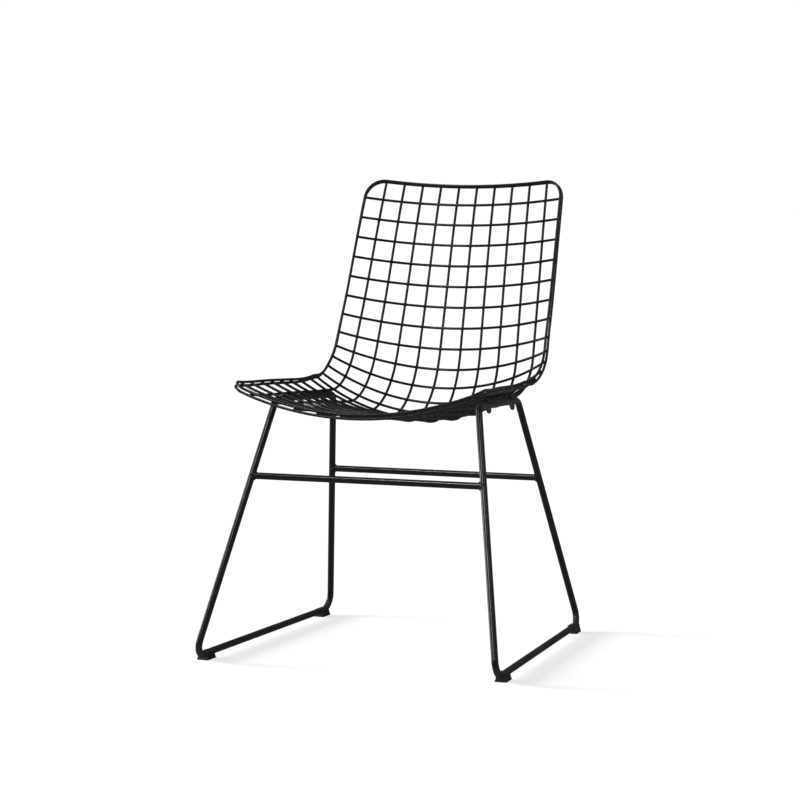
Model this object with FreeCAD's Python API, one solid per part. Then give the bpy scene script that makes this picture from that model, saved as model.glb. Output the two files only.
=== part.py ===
import FreeCAD, Part
import math
import os

# A side chair of welded steel wire on two leaning sled frames, in millimetres.
# The sitter faces -Y, +Z is up, and X runs across. Left and right are as seen from the front of the chair.
# The shell is one curved surface of square cells. "along" counts cells from the top edge of the back
# down over the bend to the front edge of the seat, and "across" counts cells from the middle to each side.

# Overall layout of the shell
CELL_LENGTH = 36.78
CELLS_ALONG = 22
LENGTHWISE_WIRES = 10
BACK_TOP_Y = 317.2
BACK_TOP_Z = 752.0
BACK_TOP_LEAN = 22.32
TOP_EDGE_ALONG = 0.03

# The middle line of the shell: how many cells each stretch is long, and how many degrees it turns forwards
MIDDLE_LINE = [
    ("top of the back", 3.47, -5.6),
    ("back", 4.91, 0.1),
    ("bend", 5.24, 81.0),
    ("seat", 6.16, -3.5),
    ("front of the seat", 2.22, 4.2),
]

# Stations along the shell, as (along, value): the step between lengthwise wires, half the width in cells,
# the depth of the dish five cells out from the middle, and the tilt of each crosswise wire out of square
WIRE_STEP = [(0.0, 32.7), (5.5, 35.1), (11.0, 37.9), (16.5, 38.2), (22.0, 39.5)]
HALF_WIDTH = [
    (0.0, 5.48), (5.5, 5.42), (9.0, 5.40), (11.0, 5.44), (13.0, 5.39), (15.0, 5.26), (17.5, 5.34), (22.0, 5.48)
]
DISH_DEPTH = [
    (0.0, 18.8), (5.5, 34.7), (9.0, 56.3), (11.0, 66.9), (13.0, 71.6), (15.0, 62.4), (17.5, 49.5), (22.0, 38.7)
]
WIRE_TILT = [
    (0.0, 12.2), (5.5, 11.4), (9.0, 16.3), (11.0, 7.4), (13.0, -12.7), (15.0, -22.8), (17.5, -11.6), (22.0, 7.7)
]
DISH_REACH = 5.0

# Wire and rod sizes, and how far welded wires sink into each other
WIRE_RADIUS = 2.2
EDGE_ROD_RADIUS = 2.2
WELD_SINK = 1.25
WIRE_END_OVERHANG = 1.3

# Rounding of the shell's corners, in cells
TOP_CORNER = 0.98
FRONT_CORNER = 0.58

# The base rod, the two sled frames and the crossbars
ROD_RADIUS = 5.5
RAIL_HEIGHT = 9.5
FOOT_FRONT = (249.7, -276.2)
FOOT_REAR = (227.7, 247.0)
TOP_FRONT = (-132.8, 409.6)
TOP_REAR = (95.4, 400.3)
SLED_LEAN = 10.26
FOOT_BEND = 20.0
TOP_BEND = 16.0
FRONT_CROSSBAR_HEIGHT = 289.3
REAR_CROSSBAR_HEIGHT = 268.3
CROSSBAR_WELD_RADIUS = 2.6

# Mounting pads, studs, washers and cap nuts that hold the shell on the top rails
FRONT_PAD_Y = -80.0
REAR_PAD_Y = 57.0
PAD_LENGTH = 38.5
PAD_WIDTH = 14.0
PAD_SADDLE_DEPTH = 1.6
PAD_WELD_SINK = 0.8
STUD_RADIUS = 2.5
STUD_HOLE_RADIUS = 2.6
WASHER_RADIUS = 5.0
WASHER_THICKNESS = 1.0
SPOT_FACE_DEPTH = 0.8
NUT_ACROSS_FLATS = 8.0
NUT_HEX_HEIGHT = 4.0
NUT_DOME_RADIUS = 3.75
NUT_DOME_HEIGHT = 4.5

# Plastic glides
GLIDE_LENGTH = 30.0
GLIDE_SOLE_WIDTH = 19.5
GLIDE_TOP_WIDTH = 14.5
GLIDE_TOP_LENGTH = 25.0
GLIDE_SOLE_THICKNESS = 2.0
GLIDE_LEDGE = 0.5
GLIDE_TOP_HEIGHT = 13.0
FRONT_GLIDE_SET_BACK = 26.4
REAR_GLIDE_SET_BACK = 21.4
GLIDE_CLEARANCE = 0.05
GLIDE_EDGE = 0.8

Vector = FreeCAD.Vector


def smooth_value(stations, along):
    # A smooth curve through the stations that never swings past them
    places = [place for place, value in stations]
    values = [value for place, value in stations]
    steps = [b - a for a, b in zip(places, places[1:])]
    slopes = [(b - a) / step for a, b, step in zip(values, values[1:], steps)]
    tangents = [end_tangent(steps[0], steps[1], slopes[0], slopes[1])]
    for left, right, slope, next_slope in zip(steps, steps[1:], slopes, slopes[1:]):
        if slope * next_slope <= 0:
            tangents.append(0.0)
            continue
        weight = 2 * right + left
        next_weight = right + 2 * left
        tangents.append((weight + next_weight) / (weight / slope + next_weight / next_slope))
    tangents.append(end_tangent(steps[-1], steps[-2], slopes[-1], slopes[-2]))
    index = 0
    while index < len(steps) - 1 and along > places[index + 1]:
        index += 1
    t = (along - places[index]) / steps[index]
    rise = values[index + 1] - values[index]
    start = tangents[index] * steps[index]
    end = tangents[index + 1] * steps[index]
    return values[index] + t * (start + t * (3 * rise - 2 * start - end + t * (start + end - 2 * rise)))


def end_tangent(step, next_step, slope, next_slope):
    tangent = ((2 * step + next_step) * slope - step * next_slope) / (step + next_step)
    if tangent * slope <= 0:
        return 0.0
    if slope * next_slope <= 0 and abs(tangent) > 3 * abs(slope):
        return 3 * slope
    return tangent


def middle_line(along):
    # Place and heading of the shell's middle line: a chain of tangent arcs in the plane x = 0
    y = BACK_TOP_Y
    z = BACK_TOP_Z
    heading = math.radians(-90.0 - BACK_TOP_LEAN)
    left = along
    for name, cells, turn in MIDDLE_LINE:
        is_last = name == MIDDLE_LINE[-1][0]
        used = left if is_last else min(left, cells)
        bend = -math.radians(turn) / (cells * CELL_LENGTH)
        end_heading = heading + bend * used * CELL_LENGTH
        y += (math.sin(end_heading) - math.sin(heading)) / bend
        z -= (math.cos(end_heading) - math.cos(heading)) / bend
        heading = end_heading
        left -= used
        if left <= 0:
            break
    return y, z, heading


def shell_point(across, along):
    # Every crosswise line of the shell is one arc, in a plane that stands near square to the middle line
    y, z, heading = middle_line(along)
    step = smooth_value(WIRE_STEP, along)
    depth = smooth_value(DISH_DEPTH, along)
    tilt = math.radians(smooth_value(WIRE_TILT, along))
    reach = DISH_REACH * step
    radius = (reach ** 2 + depth ** 2) / (2 * depth)
    angle = across * step / radius
    rise = radius * (1 - math.cos(angle))
    return Vector(
        radius * math.sin(angle),
        y + rise * math.sin(heading - tilt),
        z - rise * math.cos(heading - tilt),
    )


def shell_normal(across, along):
    # Points to the sitter's side of the shell
    small = 0.01
    sideways = shell_point(across + small, along) - shell_point(across - small, along)
    down = shell_point(across, along + small) - shell_point(across, along - small)
    normal = down.cross(sideways)
    return normal.normalize()


def lifted_point(across, along, height):
    return shell_point(across, along) + shell_normal(across, along) * height


def half_width(along):
    return smooth_value(HALF_WIDTH, along)


def corners_through(points, middles):
    # Corners of a chain of runs that touches the points: each corner stands out past the curve's middle point
    corners = [points[0]]
    for start, end, middle in zip(points, points[1:], middles):
        corners.append(middle * 2 - (start + end) * 0.5)
    corners.append(points[-1])
    return corners


def rounded_path(corners, radii=None):
    # Straight runs joined by tangent arcs. Without radii, each arc is as large as its two runs allow.
    shortest_run = 0.2
    last = len(corners) - 1
    edges = []
    start = corners[0]
    for index in range(1, last):
        before = corners[index - 1] - corners[index]
        after = corners[index + 1] - corners[index]
        turn = math.pi - before.getAngle(after)
        if radii is None:
            room_before = before.Length if index == 1 else before.Length / 2
            room_after = after.Length if index == last - 1 else after.Length / 2
            reach = min(room_before, room_after) - shortest_run
        else:
            reach = radii[index - 1] * math.tan(turn / 2)
        before.normalize()
        after.normalize()
        arc_start = corners[index] + before * reach
        arc_end = corners[index] + after * reach
        inward = (before + after).normalize()
        radius = reach / math.tan(turn / 2)
        arc_middle = corners[index] + inward * (radius / math.cos(turn / 2) - radius)
        edges.append(Part.LineSegment(start, arc_start).toShape())
        edges.append(Part.Arc(arc_start, arc_middle, arc_end).toShape())
        start = arc_end
    edges.append(Part.LineSegment(start, corners[last]).toShape())
    return Part.Wire(edges)


def tube_along(path, radius):
    first = path.OrderedEdges[0]
    start = first.valueAt(first.FirstParameter)
    heading = first.tangentAt(first.FirstParameter)
    if first.Orientation == "Reversed":
        start = first.valueAt(first.LastParameter)
        heading = first.tangentAt(first.LastParameter) * -1
    section = Part.Wire([Part.Circle(start, heading, radius).toShape()])
    solid = path.makePipeShell([section], True, False)
    if solid.Volume < 0:
        solid.reverse()
    return solid


def mirrored(shape):
    return shape.mirror(Vector(0, 0, 0), Vector(1, 0, 0))


def crosswise_wire(row):
    # One arc on the sitter's side of the lengthwise wires, whose ends lie between the two edge rods
    height = WIRE_RADIUS - WELD_SINK / 2
    reach = half_width(row) + WIRE_END_OVERHANG / smooth_value(WIRE_STEP, row)
    left_end = lifted_point(-reach, row, height)
    middle = lifted_point(0, row, height)
    right_end = lifted_point(reach, row, height)
    path = Part.Wire([Part.Arc(left_end, middle, right_end).toShape()])
    return tube_along(path, WIRE_RADIUS)


def lengthwise_line(across, along):
    return lifted_point(across, along, -WIRE_RADIUS + WELD_SINK / 2)


def lengthwise_wire(across):
    overhang = WIRE_END_OVERHANG / CELL_LENGTH
    first = TOP_EDGE_ALONG - overhang
    last = CELLS_ALONG + overhang
    places = [first] + [float(row) for row in range(1, CELLS_ALONG)] + [last]
    points = [lengthwise_line(across, place) for place in places]
    middles = [lengthwise_line(across, (a + b) / 2) for a, b in zip(places, places[1:])]
    return tube_along(rounded_path(corners_through(points, middles)), WIRE_RADIUS)


def side_length():
    return CELLS_ALONG - TOP_EDGE_ALONG - TOP_CORNER - FRONT_CORNER


def edge_outline(travel):
    # The right half of the shell's rim, from the middle of the top to the middle of the front.
    # The travel counts 1 for the top, 1 for the top corner, 1 for each cell of the side,
    # and 1 each for the front corner and the front. Gives across, along and the share of side in the corner.
    side_cells = side_length()
    top_corner = TOP_EDGE_ALONG + TOP_CORNER
    front_corner = CELLS_ALONG - FRONT_CORNER
    if travel <= 1:
        return travel * (half_width(top_corner) - TOP_CORNER), TOP_EDGE_ALONG, 0.0
    if travel <= 2:
        angle = (travel - 1) * math.pi / 2
        across = half_width(top_corner) - TOP_CORNER * (1 - math.sin(angle))
        return across, top_corner - TOP_CORNER * math.cos(angle), travel - 1
    if travel <= 2 + side_cells:
        along = top_corner + travel - 2
        return half_width(along), along, 1.0
    travel -= 2 + side_cells
    if travel <= 1:
        angle = travel * math.pi / 2
        across = half_width(front_corner) - FRONT_CORNER * (1 - math.cos(angle))
        return across, front_corner + FRONT_CORNER * math.sin(angle), 1 - travel
    return (2 - travel) * (half_width(front_corner) - FRONT_CORNER), float(CELLS_ALONG), 0.0


def edge_point(travel, lift):
    # Along the sides the rods pinch the crosswise wires, and along the top and front the lengthwise ones
    across, along, side_share = edge_outline(travel)
    blend = side_share * side_share * (3 - 2 * side_share)
    pinched = (2 * blend - 1) * (WIRE_RADIUS - WELD_SINK / 2)
    return lifted_point(across, along, pinched + lift)


def edge_rod(lift):
    side_cells = side_length()
    end_steps = 6
    corner_steps = 4
    side_steps = 22
    travels = [step / end_steps for step in range(end_steps)]
    travels += [1 + step / corner_steps for step in range(corner_steps)]
    travels += [2 + side_cells * step / side_steps for step in range(side_steps)]
    travels += [2 + side_cells + step / corner_steps for step in range(corner_steps)]
    travels += [3 + side_cells + step / end_steps for step in range(end_steps + 1)]
    points = [edge_point(travel, lift) for travel in travels]
    middles = [edge_point((a + b) / 2, lift) for a, b in zip(travels, travels[1:])]
    corners = corners_through(points, middles)
    for end, beside in ((0, 1), (-1, -2)):
        corners[end].x = 0
        corners[beside].y = corners[end].y
        corners[beside].z = corners[end].z
    half = tube_along(rounded_path(corners), EDGE_ROD_RADIUS)
    return half.fuse(mirrored(half)).removeSplitter()


def sled_x(y, z):
    # The plane of the right-hand sled leans in towards the top and closes towards the rear
    close = (FOOT_REAR[0] - FOOT_FRONT[0]) / (FOOT_REAR[1] - FOOT_FRONT[1])
    lean = math.tan(math.radians(SLED_LEAN))
    return FOOT_FRONT[0] + close * (y - FOOT_FRONT[1]) - lean * (z - RAIL_HEIGHT)


def sled_corners():
    places = [
        (FOOT_FRONT[1], RAIL_HEIGHT),
        (FOOT_REAR[1], RAIL_HEIGHT),
        TOP_REAR,
        TOP_FRONT,
    ]
    return [Vector(sled_x(y, z), y, z) for y, z in places]


def sled_tube(radius):
    foot_front, foot_rear, top_rear, top_front = sled_corners()
    foot_middle = (foot_front + foot_rear) * 0.5
    top_middle = (top_front + top_rear) * 0.5
    rear_path = rounded_path([foot_middle, foot_rear, top_rear, top_middle], [FOOT_BEND, TOP_BEND])
    front_path = rounded_path([top_middle, top_front, foot_front, foot_middle], [TOP_BEND, FOOT_BEND])
    rear = tube_along(rear_path, radius)
    front = tube_along(front_path, radius)
    return rear.fuse(front).removeSplitter()


def point_on_run(start, end, axis, value):
    share = (value - start[axis]) / (end[axis] - start[axis])
    return start + (end - start) * share


def leg_point(is_front, height):
    foot_front, foot_rear, top_rear, top_front = sled_corners()
    foot, top = (foot_front, top_front) if is_front else (foot_rear, top_rear)
    return point_on_run(foot, top, 2, height)


def crossbar(height, is_front, sleds):
    end = leg_point(is_front, height)
    start = Vector(-end.x, end.y, end.z)
    bar = Part.makeCylinder(ROD_RADIUS, 2 * end.x, start, Vector(1, 0, 0))
    pieces = bar.cut(sleds).Solids
    return max(pieces, key=lambda piece: piece.Volume)


def crossbar_welds(height, is_front, sleds, bar):
    # A small fillet bead round each end of a crossbar, where it meets the leg
    joint = leg_point(is_front, height)
    bead_x = joint.x - ROD_RADIUS * 1.02
    centre = Vector(bead_x, joint.y, joint.z)
    bead = Part.makeTorus(ROD_RADIUS, CROSSBAR_WELD_RADIUS, centre, Vector(1, 0, 0))
    bead = bead.cut(sleds).cut(bar)
    bead = max(bead.Solids, key=lambda piece: piece.Volume)
    return Part.makeCompound([bead, mirrored(bead)])


def rail_frame(pad_y):
    # Point on the right top rail, with the directions along it, out from the chair, and square to it in the sled
    foot_front, foot_rear, top_rear, top_front = sled_corners()
    centre = point_on_run(top_front, top_rear, 1, pad_y)
    forward = (top_front - top_rear).normalize()
    outward = (foot_rear - foot_front).cross(top_front - foot_front).normalize()
    if outward.x < 0:
        outward = outward * -1
    up = outward.cross(forward).normalize()
    if up.z < 0:
        up = up * -1
    return centre, forward, outward, up


def placed(shape, pad_y, height):
    # Puts a shape made on the Z axis onto the rail, with its Z along the stud and its X along the rail
    centre, forward, outward, up = rail_frame(pad_y)
    side = up.cross(forward)
    base = centre + up * height
    matrix = FreeCAD.Matrix(
        forward.x, side.x, up.x, base.x,
        forward.y, side.y, up.y, base.y,
        forward.z, side.z, up.z, base.z,
        0, 0, 0, 1,
    )
    return shape.transformed(matrix)


def pad_top_height(pad_y):
    # Height above the rail's middle at which the outermost lengthwise wire rests on the pad
    across = (LENGTHWISE_WIRES - 1) / 2
    low, high = 10.0, float(CELLS_ALONG)
    for step in range(40):
        middle = (low + high) / 2
        if lengthwise_line(across, middle).y > pad_y:
            low = middle
        else:
            high = middle
    centre, forward, outward, up = rail_frame(pad_y)
    wire = lengthwise_line(across, low)
    return (wire - centre).dot(up) - WIRE_RADIUS + PAD_WELD_SINK


def mounting_pad(pad_y, sled):
    top = pad_top_height(pad_y)
    bottom = ROD_RADIUS - PAD_SADDLE_DEPTH
    blank = Part.makeBox(
        PAD_LENGTH, PAD_WIDTH, top - bottom, Vector(-PAD_LENGTH / 2, -PAD_WIDTH / 2, 0)
    )
    upright = [edge for edge in blank.Edges if abs(edge.tangentAt(edge.FirstParameter).z) > 0.9]
    blank = blank.makeFillet(4.0, upright)
    hole = Part.makeCylinder(STUD_RADIUS, top - bottom)
    return placed(blank.cut(hole), pad_y, bottom).cut(sled)


def seat_height():
    # Where the washer bears on the spot face under the rail
    return -ROD_RADIUS + SPOT_FACE_DEPTH


def stud_length_below():
    return WASHER_THICKNESS + NUT_HEX_HEIGHT + 1.0


def mounting_stud(pad_y):
    bottom = seat_height() - stud_length_below()
    length = pad_top_height(pad_y) - bottom
    return placed(Part.makeCylinder(STUD_RADIUS, length), pad_y, bottom)


def washer(pad_y):
    ring = Part.makeCylinder(WASHER_RADIUS, WASHER_THICKNESS)
    ring = ring.cut(Part.makeCylinder(STUD_HOLE_RADIUS, WASHER_THICKNESS))
    return placed(ring, pad_y, seat_height() - WASHER_THICKNESS)


def cap_nut(pad_y):
    # Hexagon under the washer with a domed cap that covers the stud's end
    corner = NUT_ACROSS_FLATS / math.sqrt(3)
    points = [
        Vector(corner * math.cos(math.radians(60 * k)), corner * math.sin(math.radians(60 * k)), 0)
        for k in range(7)
    ]
    hexagon = Part.Face(Part.makePolygon(points)).extrude(Vector(0, 0, NUT_HEX_HEIGHT))
    neck_height = NUT_DOME_HEIGHT - NUT_DOME_RADIUS + 1.0
    neck = Part.makeCylinder(NUT_DOME_RADIUS, neck_height, Vector(0, 0, -neck_height))
    dome = Part.makeSphere(NUT_DOME_RADIUS, Vector(0, 0, -neck_height))
    bore_top = WASHER_THICKNESS - stud_length_below()
    bore = Part.makeCylinder(STUD_RADIUS, -bore_top, Vector(0, 0, NUT_HEX_HEIGHT + bore_top))
    nut = hexagon.fuse([neck, dome]).cut(bore).removeSplitter()
    return placed(nut, pad_y, seat_height() - WASHER_THICKNESS - NUT_HEX_HEIGHT)


def drill_sled(sled):
    # A hole for each stud, with a flat spot face for its washer
    for pad_y in (FRONT_PAD_Y, REAR_PAD_Y):
        hole = Part.makeCylinder(STUD_HOLE_RADIUS, 4 * ROD_RADIUS, Vector(0, 0, -2 * ROD_RADIUS))
        spot = Part.makeCylinder(WASHER_RADIUS + 0.2, ROD_RADIUS, Vector(0, 0, seat_height() - ROD_RADIUS))
        sled = sled.cut(placed(hole, pad_y, 0)).cut(placed(spot, pad_y, 0))
    return sled


def rectangle(length, width, height):
    corners = [
        Vector(-length / 2, -width / 2, height),
        Vector(length / 2, -width / 2, height),
        Vector(length / 2, width / 2, height),
        Vector(-length / 2, width / 2, height),
    ]
    return Part.makePolygon(corners + corners[:1])


def glide(is_front, rail_room):
    # A tapered block on a wider sole, clipped up over the rail just inside its bend
    ledges = 2 * GLIDE_LEDGE
    taper = Part.makeLoft(
        [
            rectangle(GLIDE_LENGTH - ledges, GLIDE_SOLE_WIDTH - ledges, GLIDE_SOLE_THICKNESS),
            rectangle(GLIDE_TOP_LENGTH, GLIDE_TOP_WIDTH, GLIDE_TOP_HEIGHT),
        ],
        True,
        True,
    )
    sole = Part.makeBox(
        GLIDE_LENGTH,
        GLIDE_SOLE_WIDTH,
        GLIDE_SOLE_THICKNESS,
        Vector(-GLIDE_LENGTH / 2, -GLIDE_SOLE_WIDTH / 2, 0),
    )
    upright = [edge for edge in sole.Edges if abs(edge.tangentAt(edge.FirstParameter).z) > 0.9]
    slanted = [edge for edge in taper.Edges if abs(edge.tangentAt(edge.FirstParameter).z) > 0.5]
    block = sole.makeFillet(GLIDE_EDGE, upright).fuse(taper.makeFillet(GLIDE_EDGE, slanted))
    foot_front, foot_rear, top_rear, top_front = sled_corners()
    rail = (foot_rear - foot_front).normalize()
    if is_front:
        centre = foot_front + rail * (FRONT_GLIDE_SET_BACK + GLIDE_LENGTH / 2)
    else:
        centre = foot_rear - rail * (REAR_GLIDE_SET_BACK + GLIDE_LENGTH / 2)
    block.rotate(Vector(0, 0, 0), Vector(0, 0, 1), math.degrees(math.atan2(rail.y, rail.x)))
    block.translate(Vector(centre.x, centre.y, 0))
    block = block.cut(rail_room)
    return max(block.Solids, key=lambda piece: piece.Volume)


def build_nodes():
    nodes = {}
    for row in range(1, CELLS_ALONG):
        nodes["crosswise_wire_%02d" % row] = crosswise_wire(row)
    for number in range(1, LENGTHWISE_WIRES + 1):
        across = number - (LENGTHWISE_WIRES + 1) / 2
        nodes["lengthwise_wire_%02d" % number] = lengthwise_wire(across)
    rod_lift = WIRE_RADIUS + EDGE_ROD_RADIUS - WELD_SINK
    nodes["edge_rod_inner"] = edge_rod(rod_lift)
    nodes["edge_rod_outer"] = edge_rod(-rod_lift)

    sled = sled_tube(ROD_RADIUS)
    both_sleds = sled.fuse(mirrored(sled))
    front_bar = crossbar(FRONT_CROSSBAR_HEIGHT, True, both_sleds)
    rear_bar = crossbar(REAR_CROSSBAR_HEIGHT, False, both_sleds)
    nodes["front_crossbar"] = front_bar
    nodes["rear_crossbar"] = rear_bar
    nodes["front_crossbar_welds"] = crossbar_welds(FRONT_CROSSBAR_HEIGHT, True, both_sleds, front_bar)
    nodes["rear_crossbar_welds"] = crossbar_welds(REAR_CROSSBAR_HEIGHT, False, both_sleds, rear_bar)
    drilled = drill_sled(sled)
    nodes["sled_frame_right"] = drilled
    nodes["sled_frame_left"] = mirrored(drilled)

    rail_room = sled_tube(ROD_RADIUS + GLIDE_CLEARANCE)
    studs = []
    washers = []
    nuts = []
    for place, pad_y in (("front", FRONT_PAD_Y), ("rear", REAR_PAD_Y)):
        right_glide = glide(place == "front", rail_room)
        nodes["glide_right_" + place] = right_glide
        nodes["glide_left_" + place] = mirrored(right_glide)
        right_pad = mounting_pad(pad_y, sled)
        nodes["mounting_pad_right_" + place] = right_pad
        nodes["mounting_pad_left_" + place] = mirrored(right_pad)
        for group, piece in ((studs, mounting_stud(pad_y)), (washers, washer(pad_y)), (nuts, cap_nut(pad_y))):
            group.append(piece)
            group.append(mirrored(piece))
    nodes["mounting_studs"] = Part.makeCompound(studs)
    nodes["stud_washers"] = Part.makeCompound(washers)
    nodes["cap_nuts"] = Part.makeCompound(nuts)
    return nodes


def main():
    nodes = build_nodes()
    everything = Part.makeCompound(list(nodes.values()))
    box = everything.optimalBoundingBox(False)
    origin = Vector((box.XMin + box.XMax) / 2, (box.YMin + box.YMax) / 2, 0)
    print("size", round(box.XLength, 2), round(box.YLength, 2), round(box.ZLength, 2))
    print("lowest point", round(box.ZMin, 3), "origin moved by", origin)
    os.makedirs("parts", exist_ok=True)
    for name, shape in nodes.items():
        shape.translate(origin * -1)
        if not shape.isValid():
            print("not valid", name)
        print(name, len(shape.Solids), round(shape.Volume, 1))
        shape.exportStep("parts/%s.step" % name)


main()
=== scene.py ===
"""A wire mesh side chair on two leaning sled frames, finished and lit for a plain studio picture.

Lengths are in metres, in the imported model's frame: the sitter faces -Y, Z is up and X runs across.
"""
import logging
import math
from dataclasses import dataclass, field
from enum import Enum
from typing import Iterator

import bmesh
import bpy
from mathutils import Matrix, Vector


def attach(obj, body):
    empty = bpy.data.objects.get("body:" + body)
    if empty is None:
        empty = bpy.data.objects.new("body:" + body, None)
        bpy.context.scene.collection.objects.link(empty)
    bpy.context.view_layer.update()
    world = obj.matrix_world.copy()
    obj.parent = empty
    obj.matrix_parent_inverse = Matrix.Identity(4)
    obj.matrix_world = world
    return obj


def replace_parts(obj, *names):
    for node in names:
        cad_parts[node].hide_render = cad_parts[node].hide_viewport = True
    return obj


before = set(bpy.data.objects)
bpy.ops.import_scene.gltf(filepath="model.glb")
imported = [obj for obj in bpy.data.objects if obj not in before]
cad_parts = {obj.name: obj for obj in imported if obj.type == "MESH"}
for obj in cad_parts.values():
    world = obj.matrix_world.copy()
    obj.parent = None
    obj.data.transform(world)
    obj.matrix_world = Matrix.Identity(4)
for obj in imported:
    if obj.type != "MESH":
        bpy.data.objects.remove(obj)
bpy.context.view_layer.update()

LOG = logging.getLogger("chair")
MM = 0.001
# The chair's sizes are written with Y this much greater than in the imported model, whose box is centred.
MIDDLE = 24.983 * MM
BODY = "root"
Colour = tuple[float, float, float]
Stations = tuple[tuple[float, float], ...]


class Side(Enum):
    """The two sides of the chair, as the sign of X."""

    RIGHT = 1
    LEFT = -1


class End(Enum):
    """The front and the rear end of a sled frame."""

    FRONT = "front"
    REAR = "rear"


# Shader groups and finishes


class NodeSheet:
    """Adds and joins the nodes of one material or group."""

    # A Mix node lists its colour sockets after those for numbers and vectors.
    FIRST_COLOUR = 6
    SECOND_COLOUR = 7
    MIXED_COLOUR = 2

    def __init__(self, tree: bpy.types.NodeTree) -> None:
        """Starts with an empty sheet.

        Args:
            tree: The material's or group's node tree.
        """
        self.tree = tree
        tree.nodes.clear()

    def add(self, kind: str, **settings: object) -> bpy.types.Node:
        """Adds one node.

        Args:
            kind: The node's Blender type.
            **settings: Values for the node's own properties.

        Returns:
            The new node.
        """
        node = self.tree.nodes.new(kind)
        for name, value in settings.items():
            setattr(node, name, value)
        return node

    def join(self, output: bpy.types.NodeSocket, into: bpy.types.NodeSocket) -> None:
        """Links an output to an input."""
        self.tree.links.new(output, into)

    def feed(self, into: bpy.types.NodeSocket, value: object) -> None:
        """Gives an input its value.

        Args:
            into: The input.
            value: A socket that is linked to it, or the value itself.
        """
        if isinstance(value, bpy.types.NodeSocket):
            self.join(value, into)
        else:
            into.default_value = value

    def noise(self, vector: bpy.types.NodeSocket, scale: float, detail: float) -> bpy.types.NodeSocket:
        """Adds a noise texture.

        Args:
            vector: Where the texture is read.
            scale: Features per metre.
            detail: How many finer layers it has.

        Returns:
            The noise's value, about 0.5 on average.
        """
        node = self.add("ShaderNodeTexNoise")
        node.inputs["Scale"].default_value = scale
        node.inputs["Detail"].default_value = detail
        self.join(vector, node.inputs["Vector"])
        return node.outputs["Fac"]

    def ramp(self, value: bpy.types.NodeSocket, low: float, high: float) -> bpy.types.NodeSocket:
        """Turns a value into a mask that is 0 at low and 1 at high.

        Args:
            value: The value to read.
            low: Where the mask is 0.
            high: Where the mask is 1.

        Returns:
            The mask.
        """
        node = self.add("ShaderNodeMapRange", interpolation_type="SMOOTHSTEP")
        node.inputs["From Min"].default_value = low
        node.inputs["From Max"].default_value = high
        self.join(value, node.inputs["Value"])
        return node.outputs["Result"]

    def maths(self, operation: str, *terms: object) -> bpy.types.NodeSocket:
        """Adds a Math node.

        Args:
            operation: The node's operation.
            *terms: Sockets or numbers.

        Returns:
            The result.
        """
        node = self.add("ShaderNodeMath", operation=operation)
        for socket, term in zip(node.inputs, terms):
            self.feed(socket, term)
        return node.outputs["Value"]

    def blend(self, mask: bpy.types.NodeSocket, colour: object, other: object) -> bpy.types.NodeSocket:
        """Mixes two colours.

        Args:
            mask: 0 gives the first colour and 1 the second.
            colour: The first colour, as a socket or three numbers.
            other: The second colour, as a socket or three numbers.

        Returns:
            The mixed colour.
        """
        node = self.add("ShaderNodeMix", data_type="RGBA")
        self.join(mask, node.inputs["Factor"])
        for index, value in ((self.FIRST_COLOUR, colour), (self.SECOND_COLOUR, other)):
            self.feed(node.inputs[index], (*value, 1.0) if isinstance(value, tuple) else value)
        return node.outputs[self.MIXED_COLOUR]


class EffectGroup:
    """A shader group that several finishes share.

    It is made once and then placed with each finish's values.
    """

    name = "effect"
    inputs: dict[str, str] = {}
    outputs: tuple[str, ...] = ("Mask",)

    def fill(self, sheet: NodeSheet, given: dict, result: dict) -> None:
        """Draws the group's nodes.

        Args:
            sheet: The group's node sheet.
            given: The group's input values by name.
            result: The sockets that take the group's results by name.
        """

    def place(self, sheet: NodeSheet, **values: object) -> bpy.types.Node:
        """Puts the group into a material.

        Args:
            sheet: The material's node sheet.
            **values: Sockets or numbers for the group's inputs.

        Returns:
            The group node.
        """
        tree = bpy.data.node_groups.get(self.name) or self.make()
        node = sheet.add("ShaderNodeGroup", node_tree=tree)
        for key, value in values.items():
            sheet.feed(node.inputs[key], value)
        return node

    def make(self) -> bpy.types.NodeTree:
        """Makes the group's tree with its named sockets.

        Returns:
            The group's tree, filled.
        """
        tree = bpy.data.node_groups.new(self.name, "ShaderNodeTree")
        for name, kind in self.inputs.items():
            tree.interface.new_socket(name, in_out="INPUT", socket_type=kind)
        for name in self.outputs:
            tree.interface.new_socket(name, in_out="OUTPUT", socket_type="NodeSocketFloat")
        sheet = NodeSheet(tree)
        given = {socket.name: socket for socket in sheet.add("NodeGroupInput").outputs}
        result = {socket.name: socket for socket in sheet.add("NodeGroupOutput").inputs}
        self.fill(sheet, given, result)
        return tree


class OrangePeel(EffectGroup):
    """The soft ripple of baked powder, with finer grit in it."""

    name = "orange_peel"
    inputs = {"Place": "NodeSocketVector", "Grit": "NodeSocketFloat"}
    outputs = ("Height", "Gloss")
    RIPPLES = 620.0
    GRAINS = 2600.0
    CLOUDS = 14.0
    CLOUD_DETAIL = 3.0

    def fill(self, sheet: NodeSheet, given: dict, result: dict) -> None:
        """Draws ripple and grit, and slow clouds of gloss.

        Args:
            sheet: The group's node sheet.
            given: The group's input values by name.
            result: The sockets that take height and gloss, by name.
        """
        ripple = sheet.noise(given["Place"], self.RIPPLES, detail=1.0)
        grain = sheet.noise(given["Place"], self.GRAINS, detail=1.0)
        height = sheet.maths("MULTIPLY_ADD", grain, given["Grit"], ripple)
        sheet.join(height, result["Height"])
        sheet.join(sheet.noise(given["Place"], self.CLOUDS, self.CLOUD_DETAIL), result["Gloss"])


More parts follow.
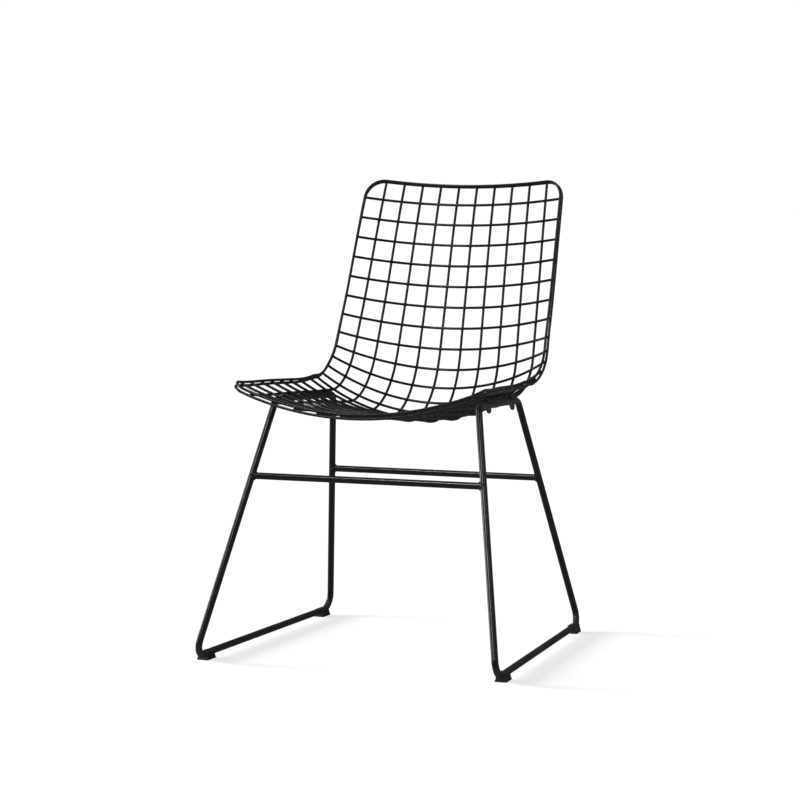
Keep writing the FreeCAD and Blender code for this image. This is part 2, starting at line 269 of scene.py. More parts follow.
class DustVeil(EffectGroup):
    """Fine dust on the faces that look up, thicker in patches."""

    name = "dust_veil"
    inputs = {"Place": "NodeSocketVector", "Facing": "NodeSocketVector", "Amount": "NodeSocketFloat"}
    UPWARD = (0.15, 0.95)
    PATCHES = 45.0
    PATCH_DETAIL = 3.0
    PATCH_RANGE = (0.3, 0.7)
    PATCH_SHARE = 0.5
    SPECKS = 900.0
    SPECK_DETAIL = 2.0
    SPECK_RANGE = (0.35, 0.75)

    def fill(self, sheet: NodeSheet, given: dict, result: dict) -> None:
        """Draws the dust mask.

        Args:
            sheet: The group's node sheet.
            given: The group's input values by name.
            result: The socket that takes the mask, by name.
        """
        split = sheet.add("ShaderNodeSeparateXYZ")
        sheet.join(given["Facing"], split.inputs["Vector"])
        upward = sheet.ramp(split.outputs["Z"], *self.UPWARD)
        patches = sheet.noise(given["Place"], self.PATCHES, self.PATCH_DETAIL)
        specks = sheet.noise(given["Place"], self.SPECKS, self.SPECK_DETAIL)
        patches = sheet.ramp(patches, *self.PATCH_RANGE)
        specks = sheet.ramp(specks, *self.SPECK_RANGE)
        cover = sheet.maths("MULTIPLY_ADD", patches, self.PATCH_SHARE, specks)
        dust = sheet.maths("MULTIPLY", cover, upward)
        sheet.join(sheet.maths("MULTIPLY", dust, given["Amount"]), result["Mask"])


class FloorEffect(EffectGroup):
    """An effect that is strongest at the floor and gone at its reach above it."""

    inputs = {"Place": "NodeSocketVector", "Reach": "NodeSocketFloat", "Amount": "NodeSocketFloat"}
    FULL_TO = 0.0

    def nearness(self, sheet: NodeSheet, given: dict) -> bpy.types.NodeSocket:
        """Draws how near a place is to the floor.

        Args:
            sheet: The group's node sheet.
            given: The group's input values by name.

        Returns:
            A mask that is 1 up to the full part of the reach, and 0 from the reach up.
        """
        split = sheet.add("ShaderNodeSeparateXYZ")
        sheet.join(given["Place"], split.inputs["Vector"])
        share = sheet.maths("DIVIDE", split.outputs["Z"], given["Reach"])
        return sheet.maths("SUBTRACT", 1.0, sheet.ramp(share, self.FULL_TO, 1.0))


class FloorScuffs(FloorEffect):
    """Thin rubs low down, where a sled slides over the floor."""

    name = "floor_scuffs"
    RUBS = 55.0
    RUB_DETAIL = 6.0
    RUB_RANGE = (0.58, 0.66)
    STRETCH = (1.0, 9.0, 3.0)

    def fill(self, sheet: NodeSheet, given: dict, result: dict) -> None:
        """Draws the rub mask.

        Args:
            sheet: The group's node sheet.
            given: The group's input values by name.
            result: The socket that takes the mask, by name.
        """
        lay = sheet.add("ShaderNodeMapping")
        lay.inputs["Scale"].default_value = self.STRETCH
        sheet.join(given["Place"], lay.inputs["Vector"])
        rubs = sheet.noise(lay.outputs["Vector"], self.RUBS, self.RUB_DETAIL)
        mask = sheet.maths("MULTIPLY", sheet.ramp(rubs, *self.RUB_RANGE), self.nearness(sheet, given))
        sheet.join(sheet.maths("MULTIPLY", mask, given["Amount"]), result["Mask"])


class LowFilm(FloorEffect):
    """The warm film of fine dirt that settles on everything close to the floor."""

    name = "low_film"
    FULL_TO = 0.58
    PATCHES = 60.0
    PATCH_DETAIL = 3.0
    PATCH_RANGE = (0.2, 0.6)
    PATCH_SHARE = 0.35

    def fill(self, sheet: NodeSheet, given: dict, result: dict) -> None:
        """Draws the film's mask.

        Args:
            sheet: The group's node sheet.
            given: The group's input values by name.
            result: The socket that takes the mask, by name.
        """
        patches = sheet.noise(given["Place"], self.PATCHES, self.PATCH_DETAIL)
        patches = sheet.ramp(patches, *self.PATCH_RANGE)
        cover = sheet.maths("MULTIPLY_ADD", patches, self.PATCH_SHARE, 1.0 - self.PATCH_SHARE)
        mask = sheet.maths("MULTIPLY", self.nearness(sheet, given), cover)
        sheet.join(sheet.maths("MULTIPLY", mask, given["Amount"]), result["Mask"])


@dataclass(frozen=True)
class Finish:
    """One surface finish of the chair: a solid colour under grain, dust, rubs and a film near the floor.

    The three mattings say how much rougher dust, the film and a glancing view make the surface.
    """

    name: str
    colour: Colour
    roughness: float
    gloss_spread: float = 0.1
    ior: float = 1.2
    metallic: float = 0.0
    grit: float = 0.3
    bump_height: float = 0.02 * MM
    dust: float = 0.12
    dust_colour: Colour = (0.11, 0.1, 0.085)
    dust_matting: float = 0.5
    rubs: float = 0.0
    rub_reach: float = 20.0 * MM
    rub_colour: Colour = (0.05, 0.048, 0.045)
    film: float = 0.0
    film_reach: float = 28.0 * MM
    film_colour: Colour = (0.03, 0.028, 0.022)
    film_matting: float = 1.5
    glance: tuple[float, float] = (0.25, 0.65)
    glance_matting: float = 0.6

    def material(self) -> bpy.types.Material:
        """Makes the finish's material.

        Returns:
            The material, made on the first call and found again on later ones.
        """
        found = bpy.data.materials.get(self.name)
        if found:
            return found
        material = bpy.data.materials.new(self.name)
        material.use_nodes = True
        sheet = NodeSheet(material.node_tree)
        place = sheet.add("ShaderNodeTexCoord").outputs["Object"]
        facing = sheet.add("ShaderNodeNewGeometry").outputs["Normal"]
        shader = sheet.add("ShaderNodeBsdfPrincipled")
        output = sheet.add("ShaderNodeOutputMaterial")
        sheet.join(shader.outputs["BSDF"], output.inputs["Surface"])
        shader.inputs["Metallic"].default_value = self.metallic
        shader.inputs["IOR"].default_value = self.ior
        peel = OrangePeel().place(sheet, Place=place, Grit=self.grit)
        dust = DustVeil().place(sheet, Place=place, Facing=facing, Amount=self.dust)
        rubs = FloorScuffs().place(sheet, Place=place, Reach=self.rub_reach, Amount=self.rubs)
        film = LowFilm().place(sheet, Place=place, Reach=self.film_reach, Amount=self.film)
        dust, rubs, film = (effect.outputs["Mask"] for effect in (dust, rubs, film))
        colour = sheet.blend(film, self.colour, self.film_colour)
        colour = sheet.blend(rubs, colour, self.rub_colour)
        colour = sheet.blend(dust, colour, self.dust_colour)
        sheet.join(colour, shader.inputs["Base Color"])
        cloud = sheet.maths("SUBTRACT", peel.outputs["Gloss"], 0.5)
        glance = sheet.ramp(sheet.add("ShaderNodeLayerWeight").outputs["Facing"], *self.glance)
        rough = sheet.maths("MULTIPLY_ADD", cloud, self.gloss_spread, self.roughness)
        rough = sheet.maths("MULTIPLY_ADD", dust, self.dust_matting, rough)
        rough = sheet.maths("MULTIPLY_ADD", film, self.film_matting, rough)
        rough = sheet.maths("MULTIPLY_ADD", glance, self.glance_matting, rough)
        sheet.join(rough, shader.inputs["Roughness"])
        bump = sheet.add("ShaderNodeBump")
        bump.inputs["Distance"].default_value = self.bump_height
        sheet.join(peel.outputs["Height"], bump.inputs["Height"])
        sheet.join(bump.outputs["Normal"], shader.inputs["Normal"])
        return material


BLACK = (0.002, 0.002, 0.0021)
WIRE_COAT = Finish("satin_black_wire_coat", BLACK, roughness=0.22, dust=0.04)
FRAME_COAT = Finish("satin_black_frame_coat", BLACK, roughness=0.15, rubs=0.5, dust=0.05, film=0.35)
WELD_COAT = Finish("coated_weld_bead", BLACK, roughness=0.32, grit=0.6, bump_height=0.04 * MM, dust=0.05)
FASTENER_BLACK = Finish("black_plated_fastener", (0.008, 0.008, 0.009), roughness=0.3, ior=1.3, grit=0.15)
STUD_ZINC = Finish(
    "zinc_plated_stud", (0.42, 0.42, 0.43), roughness=0.34, ior=1.45, metallic=1.0, grit=0.5, dust=0.05
)
GLIDE_PLASTIC = Finish(
    "moulded_glide_plastic",
    (0.008, 0.007, 0.0057),
    roughness=0.58,
    grit=1.0,
    bump_height=0.03 * MM,
    dust=0.08,
    rubs=0.5,
    rub_reach=6.0 * MM,
)


# Mesh helpers


def new_piece(
    name: str, shape: bmesh.types.BMesh, finish: Finish, crease: float = 35.0
) -> bpy.types.Object:
    """Turns a finished bmesh into a piece of the chair.

    Args:
        name: The piece's name.
        shape: Its mesh, in the chair's frame. It is freed.
        finish: Its finish.
        crease: Edges that turn by more than this many degrees stay sharp.

    Returns:
        The piece, riding on the chair's body.
    """
    bmesh.ops.recalc_face_normals(shape, faces=shape.faces)
    for face in shape.faces:
        face.smooth = True
    limit = math.radians(crease)
    for edge in shape.edges:
        edge.smooth = len(edge.link_faces) == 2 and edge.calc_face_angle(0.0) < limit
    mesh = bpy.data.meshes.new(name)
    shape.to_mesh(mesh)
    shape.free()
    mesh.materials.append(finish.material())
    piece = bpy.data.objects.new(name, mesh)
    bpy.context.scene.collection.objects.link(piece)
    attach(piece, BODY)
    LOG.info("made %s with %d faces", name, len(mesh.polygons))
    return piece


def dress_node(name: str, finish: Finish) -> None:
    """Gives a carried-over node its finish.

    Args:
        name: The node's name.
        finish: The finish it gets.
    """
    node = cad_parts[name]
    node.data.materials.clear()
    node.data.materials.append(finish.material())
    LOG.info("finished %s with %s", name, finish.name)


def basis(x_axis: Vector, z_axis: Vector, origin: Vector) -> Matrix:
    """Makes the frame of a small feature.

    Args:
        x_axis: Its X direction.
        z_axis: Its Z direction, which is kept exactly.
        origin: Its origin.

    Returns:
        The matrix that takes the feature's own coordinates to the chair's.
    """
    z_unit = z_axis.normalized()
    y_unit = z_unit.cross(x_axis).normalized()
    x_unit = y_unit.cross(z_unit)
    turn = Matrix((x_unit, y_unit, z_unit)).transposed().to_4x4()
    return Matrix.Translation(origin) @ turn


# The chair's geometry that the finishing pieces follow


def smooth_value(stations: Stations, along: float) -> float:
    """Reads a smooth curve through stations that never swings past them.

    Args:
        stations: Places along the shell and the values there.
        along: Where to read, in cells from the top edge.

    Returns:
        The value there.
    """
    steps = [b[0] - a[0] for a, b in zip(stations, stations[1:])]
    slopes = [(b[1] - a[1]) / step for (a, b), step in zip(zip(stations, stations[1:]), steps)]
    tangents = [end_tangent(steps[0], steps[1], slopes[0], slopes[1])]
    for left, right, slope, onward in zip(steps, steps[1:], slopes, slopes[1:]):
        if slope * onward <= 0:
            tangents.append(0.0)
            continue
        first, second = 2 * right + left, right + 2 * left
        tangents.append((first + second) / (first / slope + second / onward))
    tangents.append(end_tangent(steps[-1], steps[-2], slopes[-1], slopes[-2]))
    index = sum(1 for place, _ in stations[1:-1] if along > place)
    share = (along - stations[index][0]) / steps[index]
    rise = stations[index + 1][1] - stations[index][1]
    start, finish = tangents[index] * steps[index], tangents[index + 1] * steps[index]
    bend = 3 * rise - 2 * start - finish + share * (start + finish - 2 * rise)
    return stations[index][1] + share * (start + share * bend)


def end_tangent(step: float, next_step: float, slope: float, next_slope: float) -> float:
    """Gives the slope of the smooth curve at its first or last station.

    Args:
        step: Length of the end stretch.
        next_step: Length of the stretch beside it.
        slope: Straight slope of the end stretch.
        next_slope: Straight slope of the stretch beside it.

    Returns:
        The slope there.
    """
    tangent = ((2 * step + next_step) * slope - step * next_slope) / (step + next_step)
    if tangent * slope <= 0:
        return 0.0
    if slope * next_slope <= 0 and abs(tangent) > 3 * abs(slope):
        return 3 * slope
    return tangent


@dataclass(frozen=True)
class ShellSurface:
    """The curved sheet that the mesh lies in.

    It is read in cells: across from the middle, and along from the top. Its middle line is a row of arcs,
    each with its length in cells and its turn in degrees. A station is a place along that line and a
    value there: wire steps and dish depths in millimetres, half widths in cells and tilts in degrees.
    """

    cell: float = 36.78 * MM
    cells_along: int = 22
    top: tuple[float, float] = (317.2 * MM - MIDDLE, 752.0 * MM)
    lean: float = 22.32
    stretches: Stations = ((3.47, -5.6), (4.91, 0.1), (5.24, 81.0), (6.16, -3.5), (2.22, 4.2))
    wire_step: Stations = ((0.0, 32.7), (5.5, 35.1), (11.0, 37.9), (16.5, 38.2), (22.0, 39.5))
    half_width: Stations = (
        (0.0, 5.48), (5.5, 5.42), (9.0, 5.40), (11.0, 5.44),
        (13.0, 5.39), (15.0, 5.26), (17.5, 5.34), (22.0, 5.48),
    )
    dish: Stations = (
        (0.0, 18.8), (5.5, 34.7), (9.0, 56.3), (11.0, 66.9),
        (13.0, 71.6), (15.0, 62.4), (17.5, 49.5), (22.0, 38.7),
    )
    tilt: Stations = (
        (0.0, 12.2), (5.5, 11.4), (9.0, 16.3), (11.0, 7.4),
        (13.0, -12.7), (15.0, -22.8), (17.5, -11.6), (22.0, 7.7),
    )
    dish_reach: float = 5.0
    probe: float = 0.01

    def middle_line(self, along: float) -> tuple[float, float, float]:
        """Walks the shell's middle line.

        Args:
            along: Cells from the top edge.

        Returns:
            Y, Z and the heading there, in the plane X = 0.
        """
        y, z = self.top
        heading = math.radians(-90.0 - self.lean)
        left = along
        for number, (cells, turn) in enumerate(self.stretches, 1):
            used = left if number == len(self.stretches) else min(left, cells)
            bend = -math.radians(turn) / (cells * self.cell)
            onward = heading + bend * used * self.cell
            y += (math.sin(onward) - math.sin(heading)) / bend
            z -= (math.cos(onward) - math.cos(heading)) / bend
            heading = onward
            left -= used
            if left <= 0:
                break
        return y, z, heading

    def point(self, across: float, along: float) -> Vector:
        """Finds a point of the sheet.

        Args:
            across: Cells from the middle, to the right.
            along: Cells from the top edge.

        Returns:
            The point, in the chair's frame.
        """
        y, z, heading = self.middle_line(along)
        step = smooth_value(self.wire_step, along) * MM
        depth = smooth_value(self.dish, along) * MM
        facing = heading - math.radians(smooth_value(self.tilt, along))
        reach = self.dish_reach * step
        radius = (reach**2 + depth**2) / (2 * depth)
        angle = across * step / radius
        rise = radius * (1 - math.cos(angle))
        return Vector((radius * math.sin(angle), y + rise * math.sin(facing), z - rise * math.cos(facing)))

    def directions(self, across: float, along: float) -> tuple[Vector, Vector]:
        """Finds which way the sheet lies at a place.

        Args:
            across: Cells from the middle, to the right.
            along: Cells from the top edge.

        Returns:
            The sideways direction and the normal on the sitter's side.
        """
        sideways = self.point(across + self.probe, along) - self.point(across - self.probe, along)
        down = self.point(across, along + self.probe) - self.point(across, along - self.probe)
        return sideways.normalized(), down.cross(sideways).normalized()

    def rim(self, along: float) -> float:
        """Gives half the sheet's width, in cells."""
        return smooth_value(self.half_width, along)


@dataclass(frozen=True)
class SledShape:
    """Where the right sled frame's middle line runs, and the places of the studs on its top rail."""

    rod_radius: float = 5.5 * MM
    rail_height: float = 9.5 * MM
    foot_front: tuple[float, float] = (249.7 * MM, -276.2 * MM - MIDDLE)
    foot_rear: tuple[float, float] = (227.7 * MM, 247.0 * MM - MIDDLE)
    top_front: tuple[float, float] = (-132.8 * MM - MIDDLE, 409.6 * MM)
    top_rear: tuple[float, float] = (95.4 * MM - MIDDLE, 400.3 * MM)
    lean: float = 10.26
    crossbar_heights: tuple[tuple[End, float], ...] = ((End.FRONT, 289.3 * MM), (End.REAR, 268.3 * MM))
    stud_places: tuple[float, ...] = (-80.0 * MM - MIDDLE, 57.0 * MM - MIDDLE)

    def corner(self, y: float, z: float) -> Vector:
        """Finds a point of the sled's leaning plane.

        Args:
            y: The point's Y.
            z: Its height.

        Returns:
            The point, with the X that the plane has there.
        """
        foot_x, foot_y = self.foot_front
        close = (self.foot_rear[0] - foot_x) / (self.foot_rear[1] - foot_y)
        lean = math.tan(math.radians(self.lean))
        return Vector((foot_x + close * (y - foot_y) - lean * (z - self.rail_height), y, z))

    def leg(self, end: End) -> tuple[Vector, Vector]:
        """Finds the ends of one leg's middle line.

        Args:
            end: Which leg.

        Returns:
            The leg's foot and its top corner.
        """
        front = end is End.FRONT
        foot = self.foot_front if front else self.foot_rear
        top = self.top_front if front else self.top_rear
        return self.corner(foot[1], self.rail_height), self.corner(*top)

    def leg_point(self, end: End, height: float) -> Vector:
        """Gives the point of a leg's middle line at a height."""
        foot, top = self.leg(end)
        return foot.lerp(top, (height - foot.z) / (top.z - foot.z))

    def stud_frame(self, y: float) -> Matrix:
        """Finds the frame of one stud.

        Args:
            y: Where the stud crosses the top rail's middle line.

        Returns:
            The frame: its origin on that line, Z up the stud and X along the rail.
        """
        front, rear = self.corner(*self.top_front), self.corner(*self.top_rear)
        middle = front.lerp(rear, (y - front.y) / (rear.y - front.y))
        foot_front, foot_rear = self.leg(End.FRONT)[0], self.leg(End.REAR)[0]
        outward = (foot_rear - foot_front).cross(front - foot_front).normalized()
        forward = (front - rear).normalized()
        up = outward.cross(forward).normalized()
        return basis(forward, up if up.z > 0 else -up, middle)


def mirror_copy(shape: bmesh.types.BMesh) -> None:
    """Adds the mirror image of a bmesh across X = 0, without merging.

    Args:
        shape: The mesh that gets its mirror image.
    """
    everything = shape.verts[:] + shape.edges[:] + shape.faces[:]
    copied = bmesh.ops.duplicate(shape, geom=everything)["geom"]
    verts = [part for part in copied if isinstance(part, bmesh.types.BMVert)]
    faces = [part for part in copied if isinstance(part, bmesh.types.BMFace)]
    bmesh.ops.scale(shape, vec=(-1, 1, 1), verts=verts)
    bmesh.ops.reverse_faces(shape, faces=faces)


# The chair's sub-assemblies


@dataclass
class MeshShell:
    """The welded grid of wires: crosswise wires on the sitter's side, lengthwise wires behind them."""

    surface: ShellSurface = field(default_factory=ShellSurface)
    crosswise: int = 21
    lengthwise: int = 10
    wire_lift: float = 1.575 * MM
    spot_size: tuple[float, float, float] = (2.75 * MM, 2.75 * MM, 1.15 * MM)
    spot_sides: int = 8
    spot_rings: int = 5

    def dress(self) -> None:
        """Gives every wire its coat."""
        for kind, count in (("crosswise", self.crosswise), ("lengthwise", self.lengthwise)):
            for number in range(1, count + 1):
                dress_node(f"{kind}_wire_{number:02d}", WIRE_COAT)

    def columns(self) -> list[float]:
        """Gives the lengthwise wires' places across the shell."""
        return [number - (self.lengthwise - 1) / 2 for number in range(self.lengthwise)]

    def spot(self, shape: bmesh.types.BMesh, across: float, along: float, lift: float) -> None:
        """Adds one pressed weld spot, a flat lens of coated metal in the corners between two wires.

        Args:
            shape: The mesh it is added to.
            across: Its place across the shell.
            along: Its place along the shell.
            lift: Its height over the sheet.
        """
        sideways, normal = self.surface.directions(across, along)
        place = basis(sideways, normal, self.surface.point(across, along) + normal * lift)
        matrix = place @ Matrix.Diagonal((*self.spot_size, 1.0))
        bmesh.ops.create_uvsphere(
            shape, u_segments=self.spot_sides, v_segments=self.spot_rings, radius=1.0, matrix=matrix
        )

    def build(self) -> Iterator[bpy.types.Object]:
        """Builds the weld spots of the grid.

        Returns:
            The one piece that holds them all.
        """
        crossings = bmesh.new()
        for along in range(1, self.crosswise + 1):
            for across in self.columns():
                self.spot(crossings, across, along, 0.0)
        yield new_piece("grid_weld_spots", crossings, WELD_COAT)


@dataclass
class EdgeRods:
    """The inner and the outer rod that hold the wires' ends between them all round the shell."""

    shell: MeshShell
    top_edge: float = 0.03
    contact: float = 1.575 * MM

    def dress(self) -> None:
        """Gives both rods their coat."""
        for name in ("edge_rod_inner", "edge_rod_outer"):
            dress_node(name, WIRE_COAT)

    def build(self) -> Iterator[bpy.types.Object]:
        """Builds the weld spots between the wires' ends and the rods.

        Returns:
            The one piece that holds them all.
        """
        shape = bmesh.new()
        surface = self.shell.surface
        for contact in (self.contact, -self.contact):
            for along in range(1, self.shell.crosswise + 1):
                for side in Side:
                    across = side.value * surface.rim(along)
                    self.shell.spot(shape, across, along, self.shell.wire_lift + contact)
            for across in self.shell.columns():
                for along in (self.top_edge, surface.cells_along):
                    self.shell.spot(shape, across, along, contact - self.shell.wire_lift)
        yield new_piece("rim_weld_spots", shape, WELD_COAT)


@dataclass
class SledBase:
    """Two closed sled frames of round rod, and two crossbars with a weld bead at each end."""

    shape: SledShape = field(default_factory=SledShape)
    bead_radius: float = 1.5 * MM
    bead_sink: float = 0.3 * MM
    bead_swell: float = 1.05
    bead_roundness: int = 4
    bead_points: int = 84
    bead_crease: float = 80.0
    ripple: float = 0.16
    ripples: int = 14
    same_place: float = 0.01 * MM

    def dress(self) -> None:
        """Gives the frames and the crossbars their coat."""
        for name in ("sled_frame_right", "sled_frame_left", "front_crossbar", "rear_crossbar"):
            dress_node(name, FRAME_COAT)

    def seam(self, end: End, height: float) -> list[Vector]:
        """Finds the line in which a crossbar meets the right leg.

        Args:
            end: Which leg.
            height: The crossbar's height.

        Returns:
            Points round the seam, a little proud of both rods.
        """
        foot, top = self.shape.leg(end)
        leg = (top - foot).normalized()
        joint = self.shape.leg_point(end, height)
        radius = self.shape.rod_radius
        points = []
        for number in range(self.bead_points):
            angle = 2 * math.pi * number / self.bead_points
            y, z = radius * math.cos(angle), radius * math.sin(angle)
            along_leg = leg.y * y + leg.z * z
            steepness = 1 - leg.x**2
            slant = leg.x * along_leg
            x = (slant - math.sqrt(slant**2 + steepness * along_leg**2)) / steepness
            points.append(joint + Vector((x - self.bead_sink, y * self.bead_swell, z * self.bead_swell)))
        return points

    def bead(self, end: End, height: float) -> bpy.types.Object:
        """Builds the two rippled weld beads of one crossbar.

        Args:
            end: Which crossbar.
            height: Its height.

        Returns:
            The piece, which stands for the node of the same beads.
        """
        name = f"{end.value}_crossbar_bead"
        curve = bpy.data.curves.new(name, "CURVE")
        curve.dimensions = "3D"
        curve.bevel_depth = self.bead_radius
        curve.bevel_resolution = self.bead_roundness
        spline = curve.splines.new("POLY")
        seam = self.seam(end, height)
        spline.points.add(len(seam) - 1)
        spline.use_cyclic_u = True
        for number, (point, target) in enumerate(zip(seam, spline.points)):
            target.co = (*point, 1.0)
            wave = math.cos(2 * math.pi * self.ripples * number / self.bead_points)
            target.radius = 1 + self.ripple * wave
        holder = bpy.data.objects.new(name + "_path", curve)
        shape = bmesh.new()
        shape.from_mesh(bpy.data.meshes.new_from_object(holder))
        bpy.data.objects.remove(holder)
        bmesh.ops.remove_doubles(shape, verts=shape.verts, dist=self.same_place)
        mirror_copy(shape)
        piece = new_piece(name, shape, WELD_COAT, self.bead_crease)
        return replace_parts(piece, f"{end.value}_crossbar_welds")

    def build(self) -> Iterator[bpy.types.Object]:
        """Builds the beads of both crossbars.

        Returns:
            One piece for each crossbar.
        """
        for end, height in self.shape.crossbar_heights:
            yield self.bead(end, height)


@dataclass
class ShellMounting:
    """Pads on the top rails under the shell, each with a stud, a washer and a cap nut under the rail."""

    shape: SledShape = field(default_factory=SledShape)
    seat: float = -4.7 * MM
    washer: float = 1.0 * MM
    across_flats: float = 8.0 * MM
    hex_height: float = 4.0 * MM
    broken_edge: float = 0.45 * MM
    dome_radius: float = 3.75 * MM
    dome_height: float = 4.5 * MM
    dome_sides: int = 32
    dome_rings: int = 16

    def dress(self) -> None:
        """Gives pads, studs and washers their finishes."""
        for side in Side:
            for end in End:
                dress_node(f"mounting_pad_{side.name.lower()}_{end.value}", FRAME_COAT)
        dress_node("mounting_studs", STUD_ZINC)
        dress_node("stud_washers", FASTENER_BLACK)

    def cap_nut(self, shape: bmesh.types.BMesh, place: Matrix) -> None:
        """Adds one cap nut: a hexagon with broken edges and a dome that covers the stud.

        Args:
            shape: The mesh it is added to.
            place: The stud's frame.
        """
        top = self.seat - self.washer
        corner = self.across_flats / math.sqrt(3)
        hexagon = bmesh.new()
        bmesh.ops.create_cone(
            hexagon,
            cap_ends=True,
            segments=6,
            radius1=corner,
            radius2=corner,
            depth=self.hex_height,
            matrix=Matrix.Translation((0, 0, top - self.hex_height / 2)),
        )
        bmesh.ops.bevel(
            hexagon,
            geom=hexagon.edges[:],
            offset=self.broken_edge,
            affect="EDGES",
            segments=3,
            profile=0.5,
            material=-1,
        )
        dome_middle = top - self.hex_height - self.dome_height + self.dome_radius
        neck = self.dome_height - self.dome_radius + self.hex_height / 2
        bmesh.ops.create_cone(
            hexagon,
            segments=self.dome_sides,
            radius1=self.dome_radius,
            radius2=self.dome_radius,
            depth=neck,
            matrix=Matrix.Translation((0, 0, dome_middle + neck / 2)),
        )
        bmesh.ops.create_uvsphere(
            hexagon,
            u_segments=self.dome_sides,
            v_segments=self.dome_rings,
            radius=self.dome_radius,
            matrix=Matrix.Translation((0, 0, dome_middle)),
        )
        bmesh.ops.transform(hexagon, matrix=place, verts=hexagon.verts)
        part = bpy.data.meshes.new("cap_nut_blank")
        hexagon.to_mesh(part)
        hexagon.free()
        shape.from_mesh(part)
        bpy.data.meshes.remove(part)

    def build(self) -> Iterator[bpy.types.Object]:
        """Builds the four cap nuts.

        Returns:
            The piece that stands for the node of the same nuts.
        """
        shape = bmesh.new()
        for y in self.shape.stud_places:
            self.cap_nut(shape, self.shape.stud_frame(y))
        mirror_copy(shape)
        piece = new_piece("domed_cap_nuts", shape, FASTENER_BLACK)
        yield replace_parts(piece, "cap_nuts")


@dataclass
class FloorGlides:
    """Moulded plastic blocks under the four corners of the sled frames."""

    def dress(self) -> None:
        """Gives the glides their plastic."""
        for side in Side:
            for end in End:
                dress_node(f"glide_{side.name.lower()}_{end.value}", GLIDE_PLASTIC)

    def build(self) -> Iterator[bpy.types.Object]:
        """Adds nothing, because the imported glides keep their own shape."""
        return iter(())


# Studio


@dataclass(frozen=True)
class StudioCamera:
    """The camera, as solved from the chair's mesh in the picture."""

    place: tuple[float, float, float] = (1.4204, -3.8951 - MIDDLE, 0.7519)
    yaw: float = 20.139
    pitch: float = 4.808
    roll: float = -0.259
    lens: float = 114.702
    sensor: float = 36.0
    sight: float = 200.0

    def build(self) -> None:
        """Makes the camera and gives it to the scene."""
        data = bpy.data.cameras.new("picture_camera")
        data.lens = self.lens
        data.sensor_width = self.sensor
        data.clip_end = self.sight
        yaw, pitch, roll = (math.radians(angle) for angle in (self.yaw, self.pitch, self.roll))
        level_share = math.cos(pitch)
        ahead = Vector((-math.sin(yaw) * level_share, math.cos(yaw) * level_share, -math.sin(pitch)))
        level = Vector((math.cos(yaw), math.sin(yaw), 0.0))
        down = ahead.cross(level)
        right = math.cos(roll) * level + math.sin(roll) * down
        up = -(math.cos(roll) * down - math.sin(roll) * level)
        turn = Matrix((right, up, -ahead)).transposed().to_4x4()
        camera = bpy.data.objects.new("picture_camera", data)
        camera.matrix_world = Matrix.Translation(self.place) @ turn
        bpy.context.scene.collection.objects.link(camera)
        bpy.context.scene.camera = camera


@dataclass(frozen=True)
class SoftLamp:
    """A distant, soft lamp. Its azimuth turns from the chair's front to its right, in degrees."""

    name: str
    azimuth: float
    height: float
    strength: float
    spread: float
    shadow: bool = True

    def build(self) -> None:
        """Hangs the lamp."""
        data = bpy.data.lights.new(self.name, "SUN")
        data.energy = self.strength
        data.angle = math.radians(self.spread)
        data.use_shadow = self.shadow
        azimuth, height = math.radians(self.azimuth), math.radians(self.height)
        towards = Vector(
            (math.sin(azimuth) * math.cos(height), -math.cos(azimuth) * math.cos(height), math.sin(height))
        )
        lamp = bpy.data.objects.new(self.name, data)
        lamp.rotation_mode = "QUATERNION"
        lamp.rotation_quaternion = towards.to_track_quat("Z", "Y")
        bpy.context.scene.collection.objects.link(lamp)


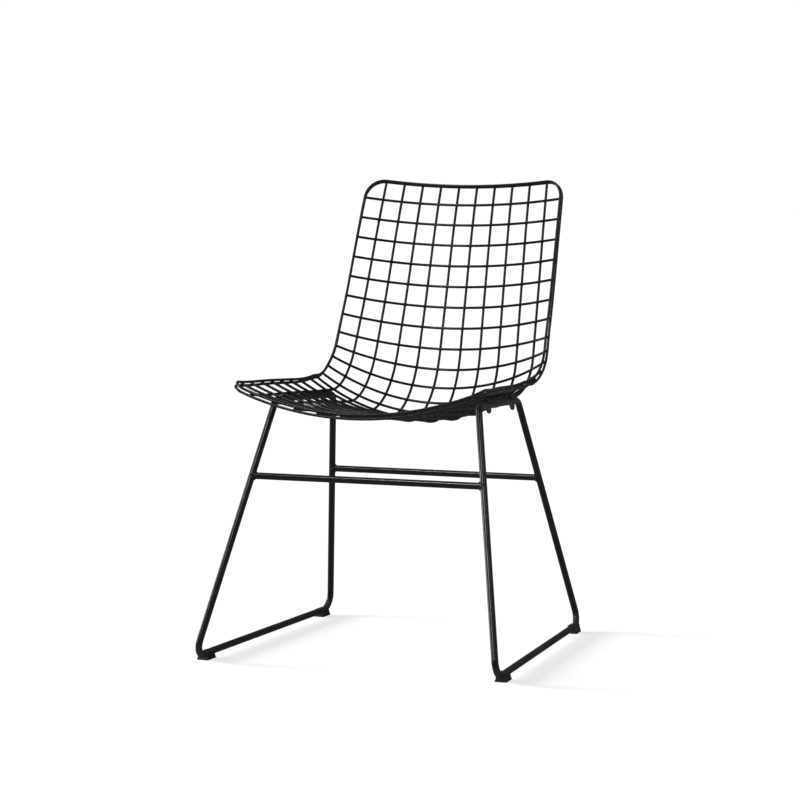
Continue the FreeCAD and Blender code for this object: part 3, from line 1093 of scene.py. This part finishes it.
@dataclass(frozen=True)
class Studio:
    """A white floor without a horizon, four lamps and pale light from all round.

    Only the low lamp on the left casts shadows, so that the floor keeps the soft ones beside the sleds.
    """

    floor_radius: float = 60.0
    floor_sides: int = 96
    floor_drop: float = 0.2 * MM
    floor_colour: Colour = (0.86, 0.86, 0.86)
    floor_lift: float = 0.08
    surround: float = 0.19
    camera: StudioCamera = StudioCamera()
    lamps: tuple[SoftLamp, ...] = (
        SoftLamp("front_lamp", azimuth=-14.0, height=31.0, strength=1.3, spread=6.0, shadow=False),
        SoftLamp("high_lamp", azimuth=-29.0, height=50.0, strength=1.6, spread=6.0, shadow=False),
        SoftLamp("left_lamp", azimuth=-86.0, height=11.0, strength=4.9, spread=16.0),
        SoftLamp("right_lamp", azimuth=55.0, height=37.0, strength=0.3, spread=8.0, shadow=False),
    )

    def seen_by(self, sheet: NodeSheet) -> bpy.types.NodeSocket:
        """Picks out the rays that show the background: from the camera, in gloss and through glass.

        Args:
            sheet: The material's or world's node sheet.

        Returns:
            1 for such a ray and 0 for the rest.
        """
        light_path = sheet.add("ShaderNodeLightPath").outputs
        seen = sheet.maths("MAXIMUM", light_path["Is Camera Ray"], light_path["Is Glossy Ray"])
        return sheet.maths("MAXIMUM", seen, light_path["Is Transmission Ray"])

    def build_world(self) -> None:
        """Makes the surround: white where it is seen, and dimmer as a light."""
        world = bpy.data.worlds.new("studio_surround")
        world.use_nodes = True
        sheet = NodeSheet(world.node_tree)
        strength = sheet.maths("MULTIPLY_ADD", self.seen_by(sheet), 1.0 - self.surround, self.surround)
        background = sheet.add("ShaderNodeBackground")
        background.inputs["Color"].default_value = (1.0, 1.0, 1.0, 1.0)
        sheet.join(strength, background.inputs["Strength"])
        output = sheet.add("ShaderNodeOutputWorld")
        sheet.join(background.outputs["Background"], output.inputs["Surface"])
        bpy.context.scene.world = world

    def floor_material(self) -> bpy.types.Material:
        """Makes a white floor that keeps soft shadows and can be seen through from beneath.

        Returns:
            The floor's material.
        """
        material = bpy.data.materials.new("white_floor")
        material.use_nodes = True
        sheet = NodeSheet(material.node_tree)
        paint = sheet.add("ShaderNodeBsdfDiffuse")
        paint.inputs["Color"].default_value = (*self.floor_colour, 1.0)
        lift = sheet.add("ShaderNodeEmission")
        sheet.join(sheet.maths("MULTIPLY", self.seen_by(sheet), self.floor_lift), lift.inputs["Strength"])
        lifted = sheet.add("ShaderNodeAddShader")
        sheet.join(paint.outputs["BSDF"], lifted.inputs[0])
        sheet.join(lift.outputs["Emission"], lifted.inputs[1])
        clear = sheet.add("ShaderNodeBsdfTransparent")
        choice = sheet.add("ShaderNodeMixShader")
        sheet.join(sheet.add("ShaderNodeNewGeometry").outputs["Backfacing"], choice.inputs[0])
        sheet.join(lifted.outputs["Shader"], choice.inputs[1])
        sheet.join(clear.outputs["BSDF"], choice.inputs[2])
        output = sheet.add("ShaderNodeOutputMaterial")
        sheet.join(choice.outputs["Shader"], output.inputs["Surface"])
        return material

    def build_floor(self) -> None:
        """Lays the round floor just under the glides."""
        shape = bmesh.new()
        place = Matrix.Translation((0.0, 0.0, -self.floor_drop))
        bmesh.ops.create_circle(
            shape, cap_ends=True, segments=self.floor_sides, radius=self.floor_radius, matrix=place
        )
        mesh = bpy.data.meshes.new("studio_floor")
        shape.to_mesh(mesh)
        shape.free()
        mesh.materials.append(self.floor_material())
        floor = bpy.data.objects.new("studio_floor", mesh)
        bpy.context.scene.collection.objects.link(floor)

    def build(self) -> None:
        """Builds camera, lamps, surround and floor."""
        self.camera.build()
        for lamp in self.lamps:
            lamp.build()
        self.build_world()
        self.build_floor()
        bpy.context.scene.view_settings.view_transform = "Standard"


def main() -> None:
    """Finishes the chair's sub-assemblies in order, then sets up the studio."""
    logging.basicConfig(level=logging.INFO, format="%(message)s")
    shell = MeshShell()
    for assembly in (shell, EdgeRods(shell), SledBase(), ShellMounting(), FloorGlides()):
        assembly.dress()
        for piece in assembly.build():
            LOG.info("placed %s", piece.name)
    Studio().build()


if __name__ == "__main__":
    main()
